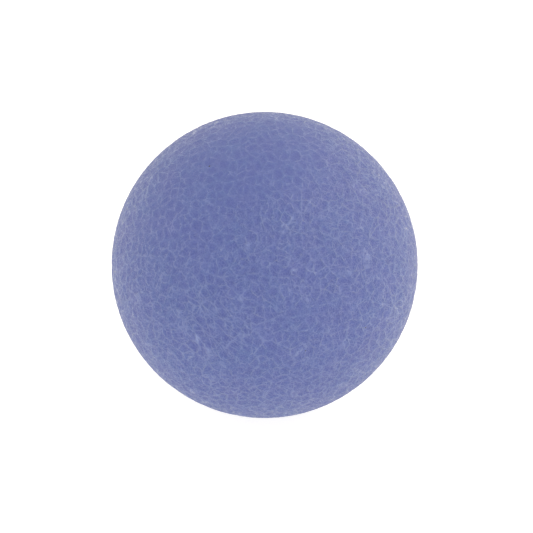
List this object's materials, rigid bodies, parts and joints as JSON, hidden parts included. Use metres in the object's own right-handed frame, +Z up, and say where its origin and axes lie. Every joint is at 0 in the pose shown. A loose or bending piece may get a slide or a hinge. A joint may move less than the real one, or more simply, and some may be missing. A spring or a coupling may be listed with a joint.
{
  "type": "stress ball",
  "caption": "Soft grained rubber ball filled with gel, squeezed in one hand to relieve stress or exercise the grip; it stands on a small flat with a filling plug.",
  "frame": {"origin": "centre of the small moulded flat that the ball stands on, at the bottom of the ball", "axes": "+Z up through the ball's centre and the poles of both half shells; the ball is round about Z, so +X and +Y are free"},
  "size_m": [0.05, 0.05, 0.0494],
  "materials": {
    "skin": "matte",
    "gel": "gloss",
    "plug": "satin",
    "cement": "satin"
  },
  "bodies": {
    "lower_half": {"lower_skin": "skin", "gel_core": "gel", "filling_plug": "plug", "plug_cement": "cement"},
    "upper_half": {"upper_skin": "skin"}
  },
  "joints": [
    {"name": "squeeze", "type": "slide", "parent": "lower_half", "child": "upper_half", "axis": [0, 0, -1], "range_m": [0, 0.02], "stiffness_N_per_m": 1400, "springref_m": -0.0002, "deforming": ["upper_skin", "lower_skin", "gel_core"]}
  ]
}
